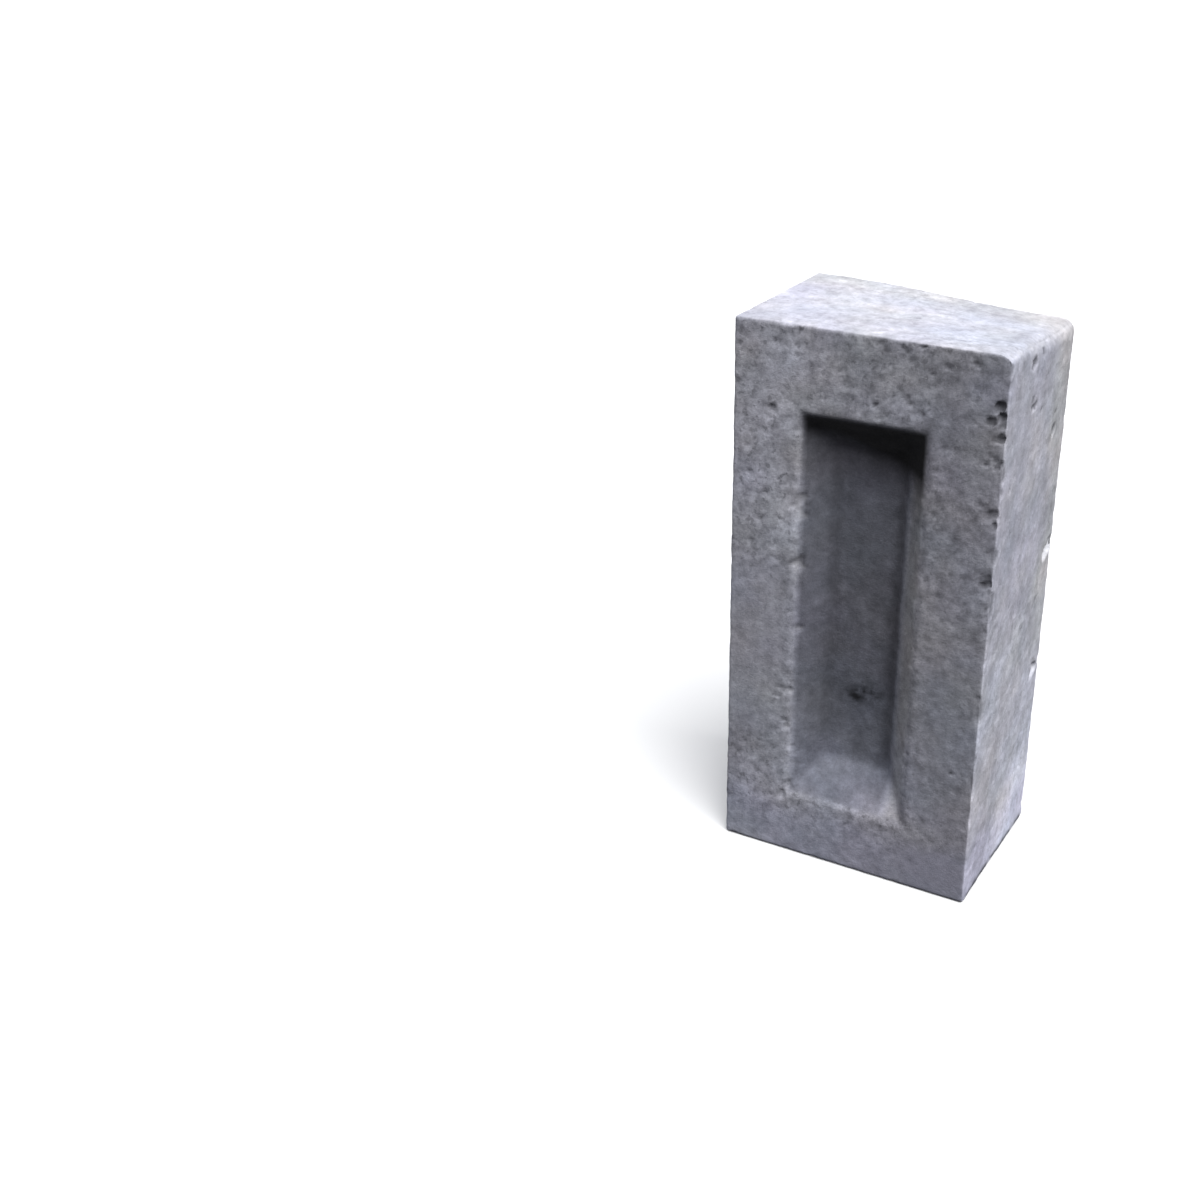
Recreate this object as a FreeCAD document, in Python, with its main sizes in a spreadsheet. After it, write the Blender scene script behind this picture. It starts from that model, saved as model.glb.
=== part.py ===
"""Frogged clay ash brick, standing on one end.

One pressed block with a tapered recess (the frog) in one bed face.
Frame, in millimetres: +Z along the brick's length, +X across its width, the frogged bed face towards -Y.
The origin is the middle of the end that the brick stands on.
"""

import FreeCAD, Part

import math
import os

import Sketcher

# The driving dimensions, in millimetres.
SIZES = {
    "brick_length": 230.0,
    "brick_width": 108.0,
    "brick_thickness": 76.0,
    "arris_radius": 1.5,
    "frog_length": 168.0,
    "frog_width": 51.0,
    "frog_depth": 12.5,
    "frog_drop": 2.5,  # how far the frog's middle lies below the brick's middle
    "frog_end_run": 16.0,  # how far each end wall of the frog leans in, from its mouth to its floor
    "frog_side_run": 12.0,  # the same for each side wall
    "frog_corner_radius": 4.0,
    "frog_floor_radius": 3.0,
    "frog_rim_radius": 1.2,
}

NEAR = 0.01  # two places closer than this are the same place


def make_sheet(doc):
    """The spreadsheet of driving dimensions, one row each, with the value's cell named by its alias."""
    sheet = doc.addObject("Spreadsheet::Sheet", "Sizes")
    for row, (name, value) in enumerate(SIZES.items(), start=1):
        sheet.set(f"A{row}", name)
        sheet.set(f"B{row}", str(value))
        sheet.setAlias(f"B{row}", name)
    doc.recompute()
    return sheet


def origin_plane(body, role):
    """The body's own origin plane with that role, such as XY_Plane."""
    return next(f for f in body.Origin.OriginFeatures if f.Role == role)


def add_rectangle(body, name, role, across, along, centre_along="0", off_plane="0"):
    """A sketch of one rectangle, parallel to an origin plane.

    across and along are its sizes, centre_along is how far its middle lies up the plane's second
    axis, and off_plane is the sketch's distance from the plane. All four are expressions.
    """
    sketch = body.newObject("Sketcher::SketchObject", name)
    sketch.AttachmentSupport = [(origin_plane(body, role), "")]
    sketch.MapMode = "FlatFace"
    sketch.setExpression("AttachmentOffset.Base.y", centre_along)
    sketch.setExpression("AttachmentOffset.Base.z", off_plane)

    corners = [FreeCAD.Vector(x, y, 0) for x, y in ((-1, -1), (1, -1), (1, 1), (-1, 1))]
    for start, end in zip(corners, corners[1:] + corners[:1]):
        sketch.addGeometry(Part.LineSegment(start, end), False)
    bottom, right, top, left = range(4)
    start_point, end_point, origin = 1, 2, -1
    for line, following in ((bottom, right), (right, top), (top, left), (left, bottom)):
        sketch.addConstraint(Sketcher.Constraint("Coincident", line, end_point, following, start_point))
    for line in (bottom, top):
        sketch.addConstraint(Sketcher.Constraint("Horizontal", line))
    for line in (right, left):
        sketch.addConstraint(Sketcher.Constraint("Vertical", line))
    sketch.addConstraint(
        Sketcher.Constraint("Symmetric", bottom, start_point, right, end_point, origin, start_point)
    )
    for kind, line, label, size in (
        ("DistanceX", bottom, "across", across),
        ("DistanceY", right, "along", along),
    ):
        index = sketch.addConstraint(Sketcher.Constraint(kind, line, start_point, line, end_point, 2.0))
        sketch.renameConstraint(index, label)
        sketch.setExpression(f"Constraints.{label}", size)
    return sketch


def round_edges(body, name, radius, wanted):
    """A fillet of the body's tip on every edge that wanted(edge) picks."""
    body.Document.recompute()
    tip = body.Tip
    picked = [f"Edge{i}" for i, edge in enumerate(tip.Shape.Edges, start=1) if wanted(edge)]
    if not picked:
        raise RuntimeError(f"{name}: no edge to round")
    fillet = body.newObject("PartDesign::Fillet", name)
    fillet.Base = (tip, picked)
    fillet.setExpression("Radius", radius)
    body.Document.recompute()
    return fillet


def lies_in_plane(edge, y):
    """Whether the whole edge lies in the plane parallel to the bed faces at that y."""
    box = edge.BoundBox
    return abs(box.YMin - y) < NEAR and abs(box.YMax - y) < NEAR


def cut_frog(body):
    """The frog: a loft that removes the frustum between its mouth, in the front bed face, and its floor."""
    middle = "Sizes.brick_length / 2 - Sizes.frog_drop"
    mouth = add_rectangle(
        body, "FrogMouth", "XZ_Plane",
        across="Sizes.frog_width",
        along="Sizes.frog_length",
        centre_along=middle,
        off_plane="Sizes.brick_thickness / 2",
    )
    floor = add_rectangle(
        body, "FrogFloor", "XZ_Plane",
        across="Sizes.frog_width - 2 * Sizes.frog_side_run",
        along="Sizes.frog_length - 2 * Sizes.frog_end_run",
        centre_along=middle,
        off_plane="Sizes.brick_thickness / 2 - Sizes.frog_depth",
    )
    frog = body.newObject("PartDesign::SubtractiveLoft", "Frog")
    frog.Profile = mouth
    frog.Sections = [floor]
    frog.Ruled = True
    body.Document.recompute()


def make_brick(doc, sheet):
    """The brick: a padded block, a lofted recess in its front bed face, and the rounded edges."""
    body = doc.addObject("PartDesign::Body", "Brick")
    body.Label = "brick"

    section = add_rectangle(body, "Section", "XY_Plane", "Sizes.brick_width", "Sizes.brick_thickness")
    block = body.newObject("PartDesign::Pad", "Block")
    block.Profile = section
    block.setExpression("Length", "Sizes.brick_length")
    doc.recompute()
    block_volume = block.Shape.Volume
    cut_frog(body)
    check_frog_volume(sheet, block_volume - body.Shape.Volume)

    front = -sheet.brick_thickness / 2
    frog_floor = front + sheet.frog_depth

    def is_frog_corner(edge):
        box = edge.BoundBox
        return abs(box.YMin - front) < NEAR and abs(box.YMax - frog_floor) < NEAR

    def is_frog_floor(edge):
        return lies_in_plane(edge, frog_floor)

    def is_arris(edge):
        """One of the block's own twelve straight edges, each of which spans a whole side of it."""
        box = edge.BoundBox
        spans = (
            (box.XLength, sheet.brick_width),
            (box.YLength, sheet.brick_thickness),
            (box.ZLength, sheet.brick_length),
        )
        return any(abs(length - whole) < NEAR for length, whole in spans)

    def is_frog_rim(edge):
        return lies_in_plane(edge, front) and not is_arris(edge)

    round_edges(body, "FrogCorners", "Sizes.frog_corner_radius", is_frog_corner)
    round_edges(body, "FrogFloorEdge", "Sizes.frog_floor_radius", is_frog_floor)
    round_edges(body, "FrogRim", "Sizes.frog_rim_radius", is_frog_rim)
    round_edges(body, "Arrises", "Sizes.arris_radius", is_arris)
    return body


def check_frog_volume(sheet, removed):
    """Stops the build unless the loft removed the frustum between the frog's mouth and its floor."""
    mouth = sheet.frog_width * sheet.frog_length
    floor = (sheet.frog_width - 2 * sheet.frog_side_run) * (sheet.frog_length - 2 * sheet.frog_end_run)
    middle = (sheet.frog_width - sheet.frog_side_run) * (sheet.frog_length - sheet.frog_end_run)
    expected = sheet.frog_depth * (mouth + 4 * middle + floor) / 6
    if not math.isclose(removed, expected, rel_tol=1e-6):
        raise RuntimeError(f"the frog removed {removed:.1f} mm3, and not {expected:.1f} mm3")


def check_document(doc, bodies):
    """Stops the build if an object failed or a body's shape isn't one valid solid."""
    for item in doc.Objects:
        failed = {"Invalid", "Error"} & set(item.State)
        if failed:
            raise RuntimeError(f"{item.Name} is {', '.join(sorted(failed))}")
    for body in bodies:
        shape = body.Shape
        if shape.isNull() or not shape.isValid() or len(shape.Solids) != 1:
            raise RuntimeError(f"{body.Label} isn't one valid solid")


def main():
    doc = FreeCAD.newDocument("ClayAshBrick")
    sheet = make_sheet(doc)
    bodies = [make_brick(doc, sheet)]
    doc.recompute()
    check_document(doc, bodies)
    os.makedirs("parts", exist_ok=True)
    for body in bodies:
        body.Shape.exportStep(f"parts/{body.Label}.step")
        print(f"{body.Label}: {body.Shape.Volume:.1f} mm3, {len(body.Shape.Faces)} faces")


main()
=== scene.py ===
"""The looks of the clay ash brick: its granular surface, worn edges and ash-grey material."""

import itertools
import math

import bpy
import numpy as np
from mathutils import Matrix, Vector
from mathutils.bvhtree import BVHTree


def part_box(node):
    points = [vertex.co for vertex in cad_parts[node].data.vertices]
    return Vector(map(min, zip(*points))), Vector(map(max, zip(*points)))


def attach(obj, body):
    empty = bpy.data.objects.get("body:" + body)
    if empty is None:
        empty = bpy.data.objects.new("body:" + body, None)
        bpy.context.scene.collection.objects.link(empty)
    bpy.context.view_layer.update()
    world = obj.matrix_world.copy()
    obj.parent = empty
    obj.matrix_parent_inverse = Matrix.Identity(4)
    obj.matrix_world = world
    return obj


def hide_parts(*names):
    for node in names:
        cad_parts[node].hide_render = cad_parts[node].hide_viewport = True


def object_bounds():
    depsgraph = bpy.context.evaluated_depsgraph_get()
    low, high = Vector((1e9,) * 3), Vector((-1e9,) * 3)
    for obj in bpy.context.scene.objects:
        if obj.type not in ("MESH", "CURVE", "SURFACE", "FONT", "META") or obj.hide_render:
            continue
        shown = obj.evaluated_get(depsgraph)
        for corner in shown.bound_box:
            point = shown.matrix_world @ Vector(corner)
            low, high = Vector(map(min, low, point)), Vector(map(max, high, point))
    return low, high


MM = 0.001

# The mesh: cells of this size, and finer ones beside the edges.
CELL = 1.06 * MM
EDGE_CELL = 0.7 * MM
EDGE_CELLS = 5

# The brick as the CAD model has it: the frog's middle and half sizes at its mouth.
FROG_MIDDLE = 112.5 * MM
FROG_HALF_WIDTH = 25.5 * MM
FROG_HALF_LENGTH = 84.0 * MM
FROG_DEPTH = 12.5 * MM
FROG_SIDE_RUN = 12.0 * MM
FROG_SIDE_FOOT = FROG_HALF_WIDTH - FROG_SIDE_RUN
FROG_TOP = FROG_MIDDLE + FROG_HALF_LENGTH
FROG_FOOT = FROG_MIDDLE - FROG_HALF_LENGTH

# How far a bowl's or scoop's outline is bent out of round, as a share of its radius.
RAGGED = 1.3

# How rounded each edge is, how ragged, and the largest flake off it, in millimetres.
# An edge is named by the two sides it joins, each an (axis, sign).
X, Y, Z = range(3)
USUAL_WEAR = (1.6, 1.2, 3.2)
EDGE_WEAR = {
    ((X, 1), (Y, -1)): (1.6, 3.2, 1.4),
    ((X, 1), (Z, 1)): (6.0, 2.4, 4.5),
    ((Y, -1), (Z, 1)): (1.0, 1.2, 1.6),
    ((X, -1), (Y, -1)): (1.3, 1.0, 1.4),
    ((X, -1), (Z, 1)): (1.2, 0.9, 2.0),
    ((Y, -1), (Z, -1)): (0.8, 0.8, 1.2),
    ((X, 1), (Z, -1)): (1.0, 0.8, 1.6),
    ((X, 1), (Y, 1)): (1.6, 1.4, 2.4),
}

# The camera stands here, seen from the brick's middle, and looks a little to the brick's left.
CAMERA_AZIMUTH = 20.54
CAMERA_ELEVATION = 24.5
CAMERA_DISTANCE = 0.6663
CAMERA_HEADING = 31.79
CAMERA_PITCH = -25.25
CAMERA_ROLL = -1.14
CAMERA_LENS = 48.16

# The darkest greys: the ash's dark grains, the painted shade in its pits and holes, and the painted shade
# and blotch in the frog and along the foot; and the studio.
GRAIN_GREY = 0.09
PIT_SHADE_GREY = 0.075
SHADE_AND_BLOTCH_GREY = 0.006
FLOOR_HALF = 6.0
SKY_COLOUR = (0.95, 0.98, 1.06, 1.0)
SKY_LOW, SKY_HIGH = 0.12, 0.55

# The lamps: the way to each, its strength and its width in degrees.
KEY_LAMP = (0.39, -0.32, 0.86), 1.55, 48
FILL_LAMP = (-0.55, 0.80, 0.22), 0.45, 60


# ---------------------------------------------------------------- noise


def smooth(low, high, value):
    """0 below low, 1 above high, and a smooth rise between."""
    t = np.clip((value - low) / (high - low), 0, 1)
    return t * t * (3 - 2 * t)


def hashed(cells, seed):
    """A random number from 0 to 1 for each row of whole numbers."""
    primes = np.array([73856093, 19349663, 83492791], np.int64)
    mixed = np.bitwise_xor.reduce(cells.astype(np.int64) * primes, axis=1)
    table = np.random.default_rng(seed).random(65536)
    return table[(mixed ^ (mixed >> 11)) & 65535]


def noise(points, size, seed):
    """Smooth noise from 0 to 1, with features about size across."""
    cell = points / size
    base = np.floor(cell)
    t = smooth(0, 1, cell - base)
    total = np.zeros(len(points))
    for corner in itertools.product((0, 1), repeat=3):
        weight = np.prod(np.where(corner, t, 1 - t), axis=1)
        total += weight * hashed(base + corner, seed)
    return total


def layered_noise(points, size, seed, layers=3):
    """Noise in several sizes, each half the one before, from 0 to 1."""
    total, share = 0, 0
    for layer in range(layers):
        weight = 0.55**layer
        total = total + weight * noise(points, size * 0.5**layer, seed + layer)
        share += weight
    return total / share


def bends(points, size, seed, layers=3):
    """A smooth random shift for each point, from -0.5 to 0.5 each way."""
    return np.stack([layered_noise(points, size, seed + 5 * k, layers) - 0.5 for k in range(3)], axis=1)


def bowls(points, size, seed, radius, chance):
    """How deep each point lies in scattered round bowls, from 0 at the rim to 1 at the bottom.

    There is a bowl in about one cube of that size in 1 / chance. radius is its least and most.
    """
    points = points + RAGGED * radius[1] * bends(points, radius[1], seed + 10, layers=2)
    home = np.floor(points / size)
    deepest = np.zeros(len(points))
    for step in itertools.product((-1, 0, 1), repeat=3):
        cell = home + step
        jitter = np.stack([hashed(cell, seed + k) for k in range(3)], axis=1)
        middle = (cell + jitter) * size
        reach = radius[0] + (radius[1] - radius[0]) * hashed(cell, seed + 3) ** 2
        depth = 1 - np.linalg.norm(points - middle, axis=1) / reach
        depth = np.where(hashed(cell, seed + 4) < chance, depth, 0)
        deepest = np.maximum(deepest, depth)
    return smooth(0, 0.7, deepest)


# ---------------------------------------------------------------- mesh


def stops(low, high):
    """Places from low to high, a cell apart, and closer together beside both ends."""
    fine = EDGE_CELL * np.arange(EDGE_CELLS)
    inner_low, inner_high = low + EDGE_CELL * EDGE_CELLS, high - EDGE_CELL * EDGE_CELLS
    count = round((inner_high - inner_low) / CELL)
    return np.concatenate([low + fine, np.linspace(inner_low, inner_high, count + 1), high - fine[::-1]])


def box_grid(low, high):
    """Points and quads of a closed box with a grid on each face, its quads facing outwards."""
    axes = [stops(a, b) for a, b in zip(low, high)]
    shape = tuple(len(a) for a in axes)
    grid = np.stack(np.meshgrid(*axes, indexing="ij"), axis=-1)
    number = np.full(shape, -1)
    on_face = np.zeros(shape, bool)
    for axis in range(3):
        for end in (0, -1):
            on_face[tuple(end if k == axis else slice(None) for k in range(3))] = True
    number[on_face] = np.arange(on_face.sum())

    quads = []
    for axis in range(3):
        for end in (0, -1):
            sheet = number[tuple(end if k == axis else slice(None) for k in range(3))]
            ring = [sheet[:-1, :-1], sheet[1:, :-1], sheet[1:, 1:], sheet[:-1, 1:]]
            if (axis == 1) == (end == -1):
                ring.reverse()
            quads.append(np.stack(ring, axis=-1).reshape(-1, 4))
    return grid[on_face], np.concatenate(quads)


def onto_cad(points, low, high, node):
    """Moves a box's grid onto the CAD node: the front straight back, the rest to the nearest place."""
    tree = BVHTree.FromObject(node, bpy.context.evaluated_depsgraph_get())
    out = points.copy()
    back = Vector((0, 1, 0))
    beside_edge = 3 * MM
    for i, point in enumerate(points):
        inside_front = point[1] < low[1] + 1e-6 and abs(point[0]) < high[0] - beside_edge
        if inside_front and beside_edge < point[2] < high[2] - beside_edge:
            hit = tree.ray_cast(Vector(point) - back * 0.01, back)[0]
        else:
            hit = tree.find_nearest(Vector(point))[0]
        out[i] = hit
    return out


def normals_of(points, quads):
    """Each point's outward direction, averaged over the quads around it."""
    a, b, c, d = (points[quads[:, k]] for k in range(4))
    face = np.cross(c - a, d - b)
    total = np.zeros_like(points)
    for k in range(4):
        np.add.at(total, quads[:, k], face)
    return total / np.linalg.norm(total, axis=1, keepdims=True)


# ---------------------------------------------------------------- the brick


class Surface:
    """The brick's points while they are weathered, with what the material later reads from them."""

    def __init__(self, points, quads, low, high):
        self.points = points
        self.low, self.high = np.array(low), np.array(high)
        self.still = points.copy()
        self.normals = normals_of(points, quads)
        x, y, z = points.T
        front = y < self.low[1] + FROG_DEPTH + 0.5 * MM
        inset = np.minimum(FROG_HALF_WIDTH - np.abs(x), FROG_HALF_LENGTH - np.abs(z - FROG_MIDDLE))
        self.frog_inset = np.where(front & (self.normals[:, 1] < 0.2), inset, -1.0)
        self.in_frog = smooth(-0.3 * MM, 2.5 * MM, self.frog_inset)
        self.bend = bends(points, 2.4 * MM, 77)

    def facing(self, axis, sign):
        """How much each point faces that way, from 0 to 1."""
        return smooth(0.5, 0.85, sign * self.normals[:, axis])


def coarseness(s):
    """How open and granular the surface is, from 0 where the die pressed it smooth to 1."""
    x, y, z = s.still.T
    patch = layered_noise(s.still, 34 * MM, 11)
    front = s.facing(1, -1) * (1 - s.in_frog)
    value = 0.34 + 0.25 * s.facing(1, 1) + 0.1 * s.facing(0, -1)
    value = value + 0.50 * front
    middle_height = smooth(44 * MM, 62 * MM, z) * smooth(142 * MM, 122 * MM, z)
    smooth_left = smooth(-18 * MM, -34 * MM, x) * middle_height
    smooth_base = smooth(26 * MM, 12 * MM, z)
    smooth_right = smooth(20 * MM, 34 * MM, x) * (0.35 + 0.65 * smooth(150 * MM, 80 * MM, z))
    value = value - front * (0.42 * smooth_left + 0.42 * smooth_base + 0.42 * smooth_right)
    value = value + 0.5 * (patch - 0.5)
    value = value * (1 - s.in_frog) + (0.30 + 0.5 * (patch - 0.5)) * s.in_frog
    return np.clip(value, 0, 1)


def wear_edges(s):
    """Rounds each of the box's edges unevenly, flakes bits off it, and returns how much was lost."""
    before = s.points.copy()
    for a, b in ((0, 1), (0, 2), (1, 2)):
        for sign_a, sign_b in itertools.product((-1, 1), repeat=2):
            sides = (a, sign_a), (b, sign_b)
            radius, rough, flakes = (v * MM for v in EDGE_WEAR.get(sides, USUAL_WEAR))
            seed = 100 + 40 * a + 10 * b + 3 * (sign_a + 1) + (sign_b + 1)
            place = s.still * np.where(np.isin(range(3), (a, b)), 0.25, 1.0)
            wide = layered_noise(place, 21 * MM, seed)
            ragged = layered_noise(s.still, 3.2 * MM, seed + 9) - 0.5
            round_edge(s, *sides, radius * (0.45 + 1.1 * wide) + rough * ragged)
            flake = smooth(0.58, 0.80, layered_noise(place, 8 * MM, seed + 5))
            flake_edge(s, *sides, flakes * flake * (1 + 1.2 * ragged))
    return np.linalg.norm(s.points - before, axis=1)


def depths(s, side_a, side_b):
    """How deep each point lies under two of the box's sides, each given as (axis, sign)."""
    return [
        np.abs(s.points[:, axis] - (s.high if sign > 0 else s.low)[axis]) for axis, sign in (side_a, side_b)
    ]


def round_edge(s, side_a, side_b, radius):
    """Rounds the edge between two sides to a radius that varies from point to point."""
    radius = np.maximum(radius, 0.3 * MM)
    short = [radius - depth for depth in depths(s, side_a, side_b)]
    reach = np.hypot(*short)
    outside = (short[0] > 0) & (short[1] > 0) & (reach > radius)
    for (axis, sign), gap in zip((side_a, side_b), short):
        push = np.where(outside, gap * (1 - radius / np.maximum(reach, 1e-9)), 0)
        s.points[:, axis] -= sign * push


def flake_edge(s, side_a, side_b, size):
    """Cuts the edge between two sides back to a slope of that size."""
    push = np.maximum(0, (size - sum(depths(s, side_a, side_b))) / 2)
    for axis, sign in (side_a, side_b):
        s.points[:, axis] -= sign * push


def wear_frog_rim(s):
    """Breaks the frog's rim back to a slope, most at its left, and returns how much was lost."""
    x, _, z = s.still.T
    left = smooth(-18 * MM, -24 * MM, x)
    top = smooth(FROG_TOP - 4 * MM, FROG_TOP - 1 * MM, z)
    chips = smooth(0.52, 0.78, layered_noise(s.still, 7 * MM, 61))
    ragged = layered_noise(s.still, 2.6 * MM, 65)
    size = (0.5 + 1.0 * ragged + (1.0 + 3.2 * left) * chips) * MM * (1 - 0.6 * top)
    sloped = s.low[1] + 0.55 * (s.frog_inset + size)
    near_rim = s.frog_inset < 5 * MM
    lost = np.where(near_rim, np.maximum(0, sloped - s.points[:, 1]), 0)
    s.points[:, 1] += lost
    return lost


def dip_top(s):
    """The top end was struck off a little low towards its back right corner."""
    x, y, z = s.points.T
    across = smooth(-0.9, 1.0, x / s.high[0])
    back = smooth(-1.6, 1.1, y / s.high[1])
    near_top = smooth(s.high[2] - 45 * MM, s.high[2], z)
    s.points[:, 2] -= 6.0 * MM * across * back * near_top


def scoop(s, middle, radius):
    """Pushes the surface out of a ragged ball, as where a flake or a grain fell out, and returns how far."""
    away = s.points - np.array(middle)
    bent = away + RAGGED * radius * s.bend
    distance = np.linalg.norm(bent, axis=1)
    push = np.maximum(0, radius - distance)
    s.points += away * (push / np.linalg.norm(away, axis=1))[:, None]
    return push


def scattered(s, middles, spread, radius, count, seed):
    """Scoops of uneven size around each place on the brick's sides, as (middle, radius), for scoop.

    A scoop's middle stays outside the sides that its place lies on, so that it only cuts into them.
    """
    random = np.random.default_rng(seed)
    for middle in np.array(middles):
        outwards = np.isclose(middle, s.high).astype(int) - np.isclose(middle, s.low)
        for _ in range(count):
            offset = random.normal(0, spread, 3)
            size = radius * random.uniform(0.5, 1.0)
            clear = outwards * np.maximum(outwards * offset, 0.35 * size)
            yield middle + np.where(outwards, clear, offset), size


def named_damage(s):
    """The holes and chips that stand out on this brick, as (holes, which the material paints dark with
    shade, and pale chips), each 0 to 1.
    """
    right, front, back = s.high[0], s.low[1], s.high[1]
    side_holes = [(right, 21 * MM, 184 * MM), (right, -10 * MM, 222 * MM), (right, -7 * MM, 203 * MM)]
    front_holes = [(-37 * MM, front, 194 * MM), (-31 * MM, front, 72 * MM), (30 * MM, front, 12 * MM)]
    edge_holes = [
        (right - 2 * MM, front, 207 * MM),
        (right - 3 * MM, front, 199 * MM),
        (right - 2 * MM, front, 190 * MM),
        (right - 3 * MM, front, 167 * MM),
        (right - 3 * MM, front, 143 * MM),
    ]
    edge_chips = [
        (right, back, 133 * MM),
        (right, back - 6 * MM, 131 * MM),
        (right, back, 79 * MM),
        (right, back - 7 * MM, 77 * MM),
    ]
    holes = itertools.chain(
        scattered(s, side_holes, 1.1 * MM, 3.0 * MM, 4, 201),
        scattered(s, edge_holes, 2.1 * MM, 2.6 * MM, 8, 203),
        scattered(s, front_holes, 1.4 * MM, 2.1 * MM, 4, 207),
    )
    chips = scattered(s, edge_chips, 1.4 * MM, 4.0 * MM, 5, 205)
    dark, pale = (
        np.max([scoop(s, middle, radius) for middle, radius in places], axis=0) for places in (holes, chips)
    )
    return smooth(0, 1.3 * MM, dark), smooth(0, 0.8 * MM, pale)


def near_edge_bites(s):
    """Where the dark bed face eats raggedly round its right edge into the right side, from 0 to 1."""
    x, y, z = s.still.T
    along = layered_noise(s.still * (0.3, 0.3, 1), 9 * MM, 89)
    bite = 4.5 * MM * smooth(0.42, 0.70, along) * smooth(30 * MM, 90 * MM, z)
    return smooth(bite, bite - 1.2 * MM, y - s.low[1]) * (x > s.high[0] - 2.5 * MM) * (y < 0)


def side_shares(s):
    """How much of each point belongs to each side: right, back, top, left, front and foot."""
    out = np.concatenate([np.maximum(0, s.normals), np.maximum(0, -s.normals)], axis=1) ** 6
    out[:, 4] += 4 * near_edge_bites(s)
    return out.T / out.sum(axis=1)


def tones_and_painted_light(s):
    """How pale the ash is, with painted light in it: the bed faces are darker than the sides and ends,
    partly in the ash and partly as painted shade, and the frog is darkest.
    """
    x, y, z = s.still.T
    right, back, top, left, front, foot = side_shares(s)
    patches = layered_noise(s.still, 30 * MM, 91) - 0.5

    # Painted light and shade on the bed face: darker towards its right and low down, paler at its upper left
    # and a little along its foot.
    front_tone = 0.282 - 0.052 * smooth(-5 * MM, 35 * MM, x) - 0.02 * smooth(130 * MM, 60 * MM, z)
    front_tone = front_tone + 0.04 * smooth(-20 * MM, -34 * MM, x) * smooth(130 * MM, 170 * MM, z)
    front_tone = front_tone + 0.008 * smooth(30 * MM, 16 * MM, z)
    # Painted light: the right side is paler low down, most towards its back.
    right_tone = 0.45 + 0.04 * smooth(130 * MM, 60 * MM, z)
    right_tone = right_tone + 0.22 * smooth(55 * MM, 20 * MM, z) * smooth(-22 * MM, 14 * MM, y)
    # The faces differ partly in the ash itself and partly as painted light: the top and the sides paler, the
    # bed faces darker.
    tone_and_painted_light = right * right_tone + left * 0.38 + back * 0.25 + front * front_tone + top * 0.42 + foot * 0.36
    smears = layered_noise(s.still, 11 * MM, 93) - 0.5
    tone_and_painted_light = tone_and_painted_light * (1 + 0.3 * patches + (0.28 + 0.2 * right) * smears)
    return tone_and_painted_light * (1 - s.in_frog) + frog_tones_and_painted_light(s) * (1 + 0.3 * patches) * s.in_frog


def frog_tones_and_painted_light(s):
    """How pale the frog is: painted light makes its right wall the palest, and it is paler towards its foot.
    """
    x, _, z = s.still.T
    left_wall = smooth(-FROG_SIDE_FOOT, -FROG_HALF_WIDTH, x)
    right_wall = smooth(FROG_SIDE_FOOT, FROG_SIDE_FOOT + 4 * MM, x)
    # Painted light: the right wall is made much paler than the rest of the frog, the left wall a little.
    tone_and_painted_light = 0.112 + 0.015 * left_wall + 0.172 * right_wall
    low_down = smooth(FROG_FOOT + 52 * MM, FROG_FOOT + 16 * MM, z)
    end_wall = smooth(FROG_FOOT + 20 * MM, FROG_FOOT + 12 * MM, z)
    tone_and_painted_light = tone_and_painted_light + 0.040 * low_down + 0.004 * end_wall
    streaks = layered_noise(s.still * (1, 1, 0.12), 6 * MM, 95) - 0.5
    clouds = layered_noise(s.still, 9 * MM, 99) - 0.5
    return tone_and_painted_light * (1 + 0.35 * streaks + 0.35 * clouds)


def blueness(s):
    """How blue the grey is, from 0 to 1: most in the frog and low down, least along the far edges."""
    x, y, z = s.still.T
    patches = layered_noise(s.still, 24 * MM, 97) - 0.5
    value = 0.5 + 1.1 * patches + 0.5 * smooth(30 * MM, 14 * MM, z)
    value = value - 0.5 * smooth(10 * MM, 32 * MM, y) * smooth(60 * MM, 100 * MM, z)
    right_wall = smooth(FROG_SIDE_FOOT + 1 * MM, FROG_HALF_WIDTH - 5 * MM, x)
    value = value * (1 - s.in_frog) + (0.8 - 0.6 * right_wall + 0.8 * patches) * s.in_frog
    return np.clip(value, 0, 1)


def frog_shade_and_blotch(s):
    """Where the frog is painted darker: painted shade in the creases at the foot of its side walls, a
    painted shadow under its top end, and one dark blotch in the ash.
    """
    x, _, z = s.still.T
    cloud = layered_noise(s.still, 5 * MM, 71)

    # Painted shade in the creases where the side walls meet the floor.
    crease = 0.42 * np.exp(-(((x - FROG_SIDE_FOOT + 1.0 * MM) / (2.6 * MM)) ** 2))
    crease = crease + 0.30 * np.exp(-(((x + FROG_SIDE_FOOT) / (2.4 * MM)) ** 2))
    crease = crease * smooth(FROG_FOOT + 16 * MM, FROG_FOOT + 26 * MM, z) * (0.6 + 0.8 * cloud)
    # Painted shadow: black just under the top end, fading downwards, and reaching lower on the right.
    black_down_to = FROG_TOP - (12 + 6 * np.clip(x / FROG_SIDE_FOOT, -1, 1)) * MM
    below = np.maximum(0, black_down_to - z) / (7 * MM)
    under_top = np.exp(-(below**2) / (below + 0.4))
    # One dark blotch in the ash.
    across, along = (x - 1 * MM) / (9 * MM), (z - 76 * MM - 0.25 * x) / (4.6 * MM)
    flecks = smooth(0.20, 0.62, layered_noise(s.still, 3.4 * MM, 75))
    blotch = 1.1 * np.exp(-(across**2) - along**2) * flecks
    return s.in_frog * np.maximum(np.maximum(crease, under_top), blotch)


def foot_painted_shade(s):
    """Painted shade: a dark line low on the right side, along its foot where it meets the floor."""
    z = s.still[:, 2]
    cloud = layered_noise(s.still, 6 * MM, 73)
    return 0.8 * s.facing(0, 1) * smooth(4.2 * MM, 1.8 * MM, z) * smooth(0.25, 0.5, cloud)


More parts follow.
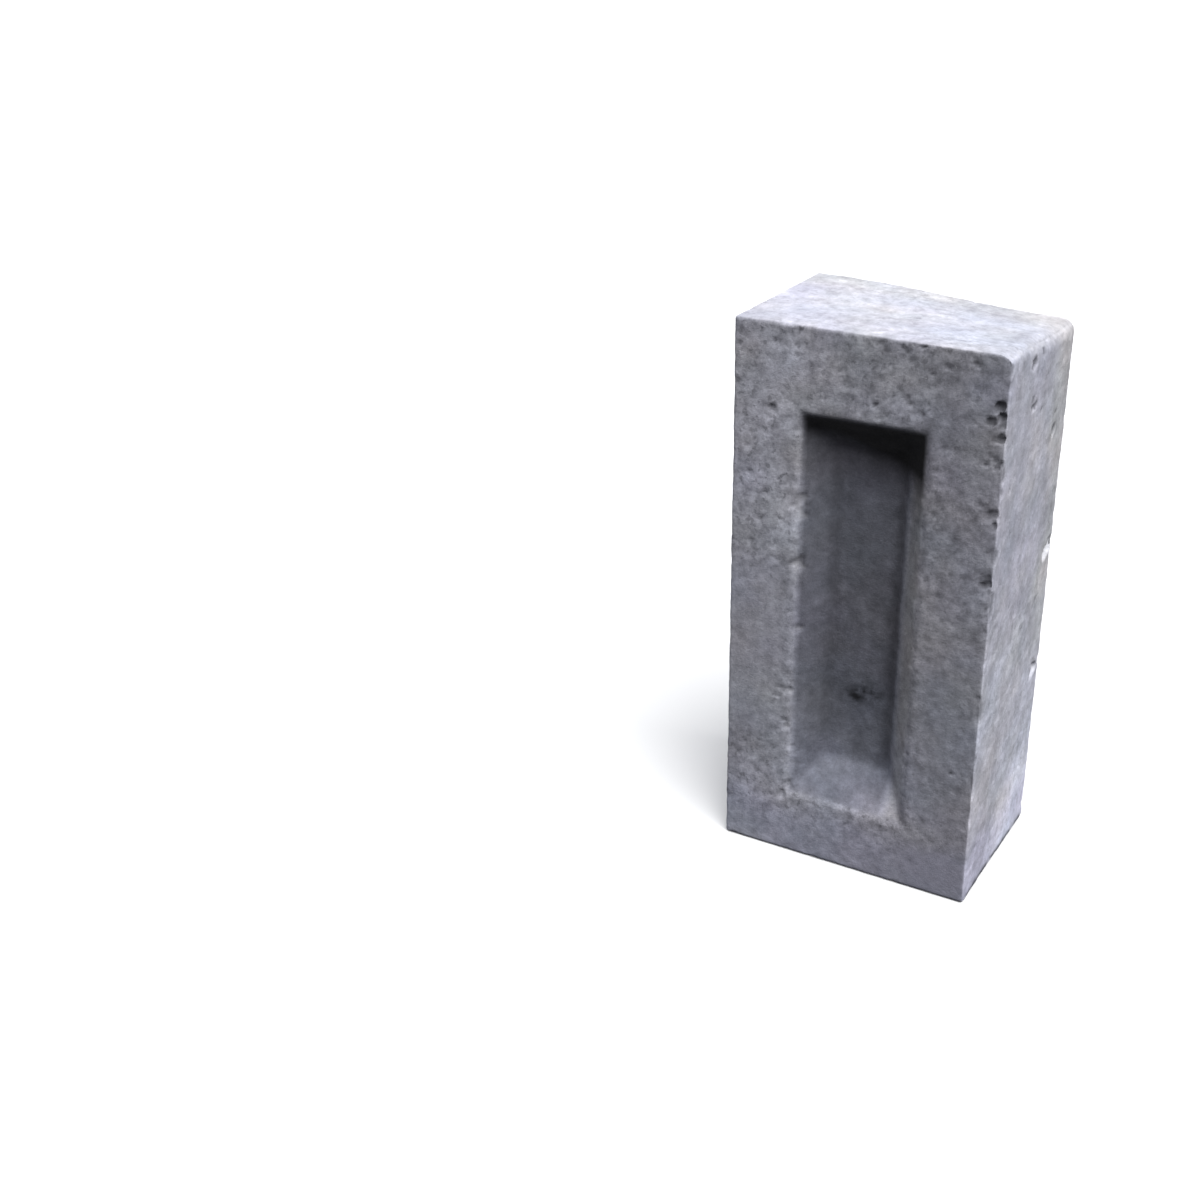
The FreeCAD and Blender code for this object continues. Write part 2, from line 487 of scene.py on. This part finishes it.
def relief(s, coarse, edge):
    """The pits and the grain, from 0 to 1, and how deep they lie. edge is what the edges lost."""
    open_patch = smooth(0.35, 0.6, layered_noise(s.still, 16 * MM, 25))
    pits = bowls(s.still, 3.4 * MM, 21, (0.5 * MM, 1.9 * MM), 0.5) * smooth(0.30, 0.85, coarse)
    pits = pits * (0.35 + 0.65 * open_patch)
    pits = np.maximum(pits, bowls(s.still, 12 * MM, 31, (0.8 * MM, 2.3 * MM), 0.35) * (1 - s.in_frog))
    grain = layered_noise(s.still, 3.0 * MM, 41)
    swell = layered_noise(s.still, 38 * MM, 51)
    bare = 1 - smooth(0.2 * MM, 1.5 * MM, edge)
    rough = 0.08 + 0.42 * coarse * (0.4 + 0.6 * open_patch)
    depth = 0.35 * MM * swell + rough * MM * smooth(0.25, 0.75, grain)
    depth = depth + 0.9 * MM * pits * (0.3 + 0.7 * bare) + 0.5 * MM * near_edge_bites(s)
    return pits, grain, depth


def pale_wear(s, edge, rim):
    """Where wear has bared paler ash, from 0 to 1. edge and rim are what the edges and frog's rim lost."""
    foot_rim = smooth(FROG_FOOT + 8 * MM, FROG_FOOT + 2 * MM, s.still[:, 2])
    rim_wear = 0.55 * smooth(0.2 * MM, 1.4 * MM, rim) * (1 - 0.8 * foot_rim)
    return np.maximum(0.45 * smooth(0.3 * MM, 1.6 * MM, edge), rim_wear)


def add_layers(mesh, layers):
    """Stores named values on the mesh's points, where the material reads them."""
    for name, values in layers.items():
        layer = mesh.attributes.new(name, "FLOAT", "POINT")
        layer.data.foreach_set("value", values.astype(np.float32))


def make_brick(low, high, node):
    """The brick as a closed mesh on the CAD shape, weathered inwards from it."""
    points, quads = box_grid(low, high)
    s = Surface(onto_cad(points, low, high, node), quads, low, high)
    coarse = coarseness(s)
    rim = wear_frog_rim(s)
    edge = wear_edges(s)
    holes, chips = named_damage(s)
    pits, grain, depth = relief(s, coarse, edge)
    s.points = s.points - s.normals * depth[:, None]
    dip_top(s)
    s.points = np.clip(s.points, s.low, s.high)

    mesh = bpy.data.meshes.new("clay_ash_brick")
    mesh.from_pydata(s.points.tolist(), [], quads.tolist())
    add_layers(mesh, {
        "coarse": coarse,
        # Painted shade in the hollows: the pits, the holes and the deeper grain are made darker.
        "hollow_shade": np.maximum.reduce([pits, holes, smooth(0.55, 0.8, grain) * coarse * 0.45]),
        "worn": np.maximum(pale_wear(s, edge, rim), chips),
        # Painted shade in the frog and along the right side's foot, and the frog's dark blotch.
        "painted_shade_and_blotch": np.maximum(frog_shade_and_blotch(s), foot_painted_shade(s)),
        # The ash's own paleness, with painted light in it.
        "tone_and_painted_light": tones_and_painted_light(s),
        "blueness": blueness(s),
    })
    mesh.polygons.foreach_set("use_smooth", np.ones(len(mesh.polygons), bool))
    mesh.update()
    brick = bpy.data.objects.new("clay_ash_brick", mesh)
    bpy.context.scene.collection.objects.link(brick)
    return brick


# ---------------------------------------------------------------- material


def add_node(tree, kind, inputs=None, **settings):
    """A node with those settings, whose inputs are set to values or linked to other nodes' outputs."""
    node = tree.nodes.new(kind)
    for name, value in settings.items():
        setattr(node, name, value)
    for name, value in (inputs or {}).items():
        socket = node.inputs[name]
        if isinstance(value, bpy.types.NodeSocket):
            tree.links.new(value, socket)
        else:
            socket.default_value = value
    return node


class Ash:
    """Short names for the nodes that the ash material is made of."""

    def __init__(self, tree):
        self.tree = tree
        self.place = add_node(tree, "ShaderNodeTexCoord").outputs["Object"]

    def noise(self, scale, detail=3, rough=0.55):
        inputs = {"Vector": self.place, "Scale": scale, "Detail": detail, "Roughness": rough}
        return add_node(self.tree, "ShaderNodeTexNoise", inputs).outputs["Fac"]

    def attribute(self, name):
        return add_node(self.tree, "ShaderNodeAttribute", attribute_name=name).outputs["Fac"]

    def math(self, operation, a, b=0.0):
        return add_node(self.tree, "ShaderNodeMath", {0: a, 1: b}, operation=operation).outputs["Value"]

    def spread(self, value, low, high, to_low=0.0, to_high=1.0):
        """value's range low to high, spread over to_low to to_high."""
        inputs = {"Value": value, "From Min": low, "From Max": high, "To Min": to_low, "To Max": to_high}
        return add_node(self.tree, "ShaderNodeMapRange", inputs).outputs["Result"]

    def mix(self, factor, a, b, blend="MIX"):
        node = add_node(self.tree, "ShaderNodeMix", data_type="RGBA", blend_type=blend)
        for socket, value in ((node.inputs[0], factor), (node.inputs[6], a), (node.inputs[7], b)):
            if isinstance(value, bpy.types.NodeSocket):
                self.tree.links.new(value, socket)
            else:
                socket.default_value = value
        return node.outputs[2]


def grey(value, blue=1.0, warm=1.0):
    return (value * warm, value, value * blue, 1.0)


def ash_material():
    """Fired clay and ash: mottled grey, with pale and dark grains and paler worn edges, and with painted
    light and shade in its tone, its pits, the frog and along its foot.
    """
    material = bpy.data.materials.new("clay_ash")
    material.use_nodes = True
    tree = material.node_tree
    tree.nodes.clear()
    ash = Ash(tree)
    names = ("coarse", "hollow_shade", "worn", "painted_shade_and_blotch", "tone_and_painted_light", "blueness")
    coarse, hollow_shade, worn, painted_shade_and_blotch, tone_and_painted_light, blueness = (ash.attribute(name) for name in names)

    wide, narrow = ash.spread(ash.noise(19), 0.40, 0.60), ash.spread(ash.noise(31, 2), 0.40, 0.60)
    cool = ash.mix(wide, grey(1.0, 1.22, 0.955), grey(1.0, 1.22, 1.015))
    earth = ash.mix(narrow, grey(1.0, 1.05, 0.985), grey(1.0, 1.03, 1.035))
    tint = ash.mix(blueness, earth, cool)
    # The tone holds painted light as well as the ash's own paleness.
    colour = ash.mix(1.0, ash_grey(ash, tone_and_painted_light), tint, "MULTIPLY")

    blotch = ash.spread(ash.noise(48, 3, 0.5), 0.3, 0.7, 0.88, 1.12)
    cloud = ash.spread(ash.noise(215, 3, 0.6), 0.3, 0.7, 0.66, 1.34)
    fine = ash.spread(ash.noise(800, 4, 0.7), 0.3, 0.7, 0.80, 1.20)
    shade = ash.math("MULTIPLY", ash.math("MULTIPLY", blotch, cloud), fine)
    strength = ash.spread(coarse, 0.0, 0.8, 0.30, 1.0)
    shade = ash.math("ADD", ash.math("MULTIPLY", ash.math("SUBTRACT", shade, 1.0), strength), 1.0)
    colour = ash.mix(1.0, colour, ash_grey(ash, shade), "MULTIPLY")

    speck = ash.math("MULTIPLY", ash.spread(ash.noise(380, 2, 0.5), 0.39, 0.32, 0.0, 0.55), coarse)
    colour = ash.mix(speck, colour, grey(GRAIN_GREY, 1.12))
    grains = ash.spread(ash.noise(820, 2, 0.5), 0.66, 0.74, 0.0, 0.6)
    pale = ash.math("MULTIPLY", grains, ash.spread(coarse, 0.2, 0.7))
    fresh = ash_grey(ash, ash.spread(tone_and_painted_light, 0.1, 0.5, 0.18, 0.66))
    fresh = ash.mix(1.0, fresh, grey(1.0, 1.06), "MULTIPLY")
    colour = ash.mix(pale, colour, fresh)
    edge = ash.math("MULTIPLY", worn, ash.spread(ash.noise(330, 3), 0.38, 0.58, 0.1, 0.75))
    colour = ash.mix(edge, colour, fresh)
    # Painted shade in the pits, holes and deeper grain.
    colour = ash.mix(ash.math("MULTIPLY", hollow_shade, 0.72), colour, grey(PIT_SHADE_GREY, 1.12))
    # Painted shade in the frog and along the right side's foot, and the frog's dark blotch.
    colour = ash.mix(painted_shade_and_blotch, colour, grey(SHADE_AND_BLOTCH_GREY, 1.15))

    bump_height = ash.math("ADD", ash.noise(750, 5, 0.7), ash.math("MULTIPLY", ash.noise(2600, 2), 0.4))
    inputs = {"Strength": 0.7, "Distance": 0.4 * MM, "Height": bump_height}
    bump = add_node(tree, "ShaderNodeBump", inputs)
    rough = ash.spread(ash.noise(160), 0.3, 0.7, 0.82, 0.96)
    inputs = {"Base Color": colour, "Roughness": rough, "Normal": bump.outputs["Normal"]}
    inputs["Specular IOR Level"] = 0.1
    shader = add_node(tree, "ShaderNodeBsdfPrincipled", inputs)
    output = add_node(tree, "ShaderNodeOutputMaterial", {"Surface": shader.outputs["BSDF"]})
    output.is_active_output = True
    return material


def ash_grey(ash, value):
    """A grey colour made from one number."""
    return add_node(
        ash.tree, "ShaderNodeCombineColor", {"Red": value, "Green": value, "Blue": value}
    ).outputs["Color"]


# ---------------------------------------------------------------- studio


def by_ray(tree):
    """1 for what the camera sees, straight, mirrored or through glass, and 0 for light on the brick."""
    rays = add_node(tree, "ShaderNodeLightPath").outputs
    first = {0: rays["Is Camera Ray"], 1: rays["Is Glossy Ray"]}
    seen = add_node(tree, "ShaderNodeMath", first, operation="MAXIMUM")
    both = {0: seen.outputs["Value"], 1: rays["Is Transmission Ray"]}
    return add_node(tree, "ShaderNodeMath", both, operation="MAXIMUM").outputs["Value"]


def make_floor():
    """A wide pale floor. It throws only a little light back up at the brick."""
    mesh = bpy.data.meshes.new("floor")
    corners = [(x * FLOOR_HALF, y * FLOOR_HALF, 0) for x, y in ((-1, -1), (1, -1), (1, 1), (-1, 1))]
    mesh.from_pydata(corners, [], [(0, 1, 2, 3)])
    floor = bpy.data.objects.new("floor", mesh)
    bpy.context.scene.collection.objects.link(floor)
    material = bpy.data.materials.new("floor")
    material.use_nodes = True
    tree = material.node_tree
    tree.nodes.clear()
    dim = add_node(tree, "ShaderNodeBsdfDiffuse", {"Color": grey(0.05)})
    pale = add_node(tree, "ShaderNodeBsdfDiffuse", {"Color": grey(0.72)})
    mix = add_node(
        tree, "ShaderNodeMixShader",
        {0: by_ray(tree), 1: dim.outputs["BSDF"], 2: pale.outputs["BSDF"]},
    )
    add_node(tree, "ShaderNodeOutputMaterial", {"Surface": mix.outputs["Shader"]})
    mesh.materials.append(material)


def make_world():
    """White where the camera sees it, and a soft, faintly cool light on the brick."""
    world = bpy.data.worlds.new("studio")
    world.use_nodes = True
    tree = world.node_tree
    tree.nodes.clear()
    direction = add_node(tree, "ShaderNodeTexCoord").outputs["Generated"]
    height = add_node(tree, "ShaderNodeSeparateXYZ", {"Vector": direction}).outputs["Z"]
    inputs = {"Value": height, "From Min": 0.0, "From Max": 0.8, "To Min": SKY_LOW, "To Max": SKY_HIGH}
    strength = add_node(tree, "ShaderNodeMapRange", inputs).outputs["Result"]
    light = add_node(tree, "ShaderNodeBackground", {"Color": SKY_COLOUR, "Strength": strength})
    white = add_node(tree, "ShaderNodeBackground", {"Color": (1, 1, 1, 1), "Strength": 1.0})
    mix = add_node(
        tree, "ShaderNodeMixShader",
        {0: by_ray(tree), 1: light.outputs["Background"], 2: white.outputs["Background"]},
    )
    add_node(tree, "ShaderNodeOutputWorld", {"Surface": mix.outputs["Shader"]})
    bpy.context.scene.world = world


def make_lamp(name, towards, strength, angle):
    """A soft lamp far off, which shines from that direction."""
    data = bpy.data.lights.new(name, "SUN")
    data.energy = strength * math.pi
    data.angle = math.radians(angle)
    lamp = bpy.data.objects.new(name, data)
    lamp.rotation_mode = "QUATERNION"
    lamp.rotation_quaternion = Vector(towards).to_track_quat("Z", "Y")
    bpy.context.scene.collection.objects.link(lamp)


def make_camera(middle):
    data = bpy.data.cameras.new("camera")
    data.sensor_width = 36
    data.lens = CAMERA_LENS
    camera = bpy.data.objects.new("camera", data)
    azimuth, elevation = math.radians(CAMERA_AZIMUTH), math.radians(CAMERA_ELEVATION)
    outwards = Vector((
        math.sin(azimuth) * math.cos(elevation),
        -math.cos(azimuth) * math.cos(elevation),
        math.sin(elevation),
    ))
    turn = (
        Matrix.Rotation(math.radians(CAMERA_HEADING), 4, "Z")
        @ Matrix.Rotation(math.radians(90 + CAMERA_PITCH), 4, "X")
        @ Matrix.Rotation(math.radians(CAMERA_ROLL), 4, "Z")
    )
    camera.matrix_world = Matrix.Translation(middle + outwards * CAMERA_DISTANCE) @ turn
    bpy.context.scene.collection.objects.link(camera)
    bpy.context.scene.camera = camera


# ---------------------------------------------------------------- the scene

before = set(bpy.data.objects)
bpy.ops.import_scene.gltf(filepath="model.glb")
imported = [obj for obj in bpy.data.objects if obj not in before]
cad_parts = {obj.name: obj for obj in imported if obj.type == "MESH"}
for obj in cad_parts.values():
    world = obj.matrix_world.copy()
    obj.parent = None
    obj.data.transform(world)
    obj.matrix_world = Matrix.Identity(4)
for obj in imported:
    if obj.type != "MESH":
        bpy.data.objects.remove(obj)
cad_low, cad_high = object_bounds()
bpy.context.scene.view_settings.view_transform = "Standard"

brick = make_brick(*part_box("brick"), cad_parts["brick"])
brick.data.materials.append(ash_material())
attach(brick, "root")
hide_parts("brick")

make_floor()
make_world()
make_lamp("key", *KEY_LAMP)
make_lamp("fill", *FILL_LAMP)
make_camera((cad_low + cad_high) / 2)
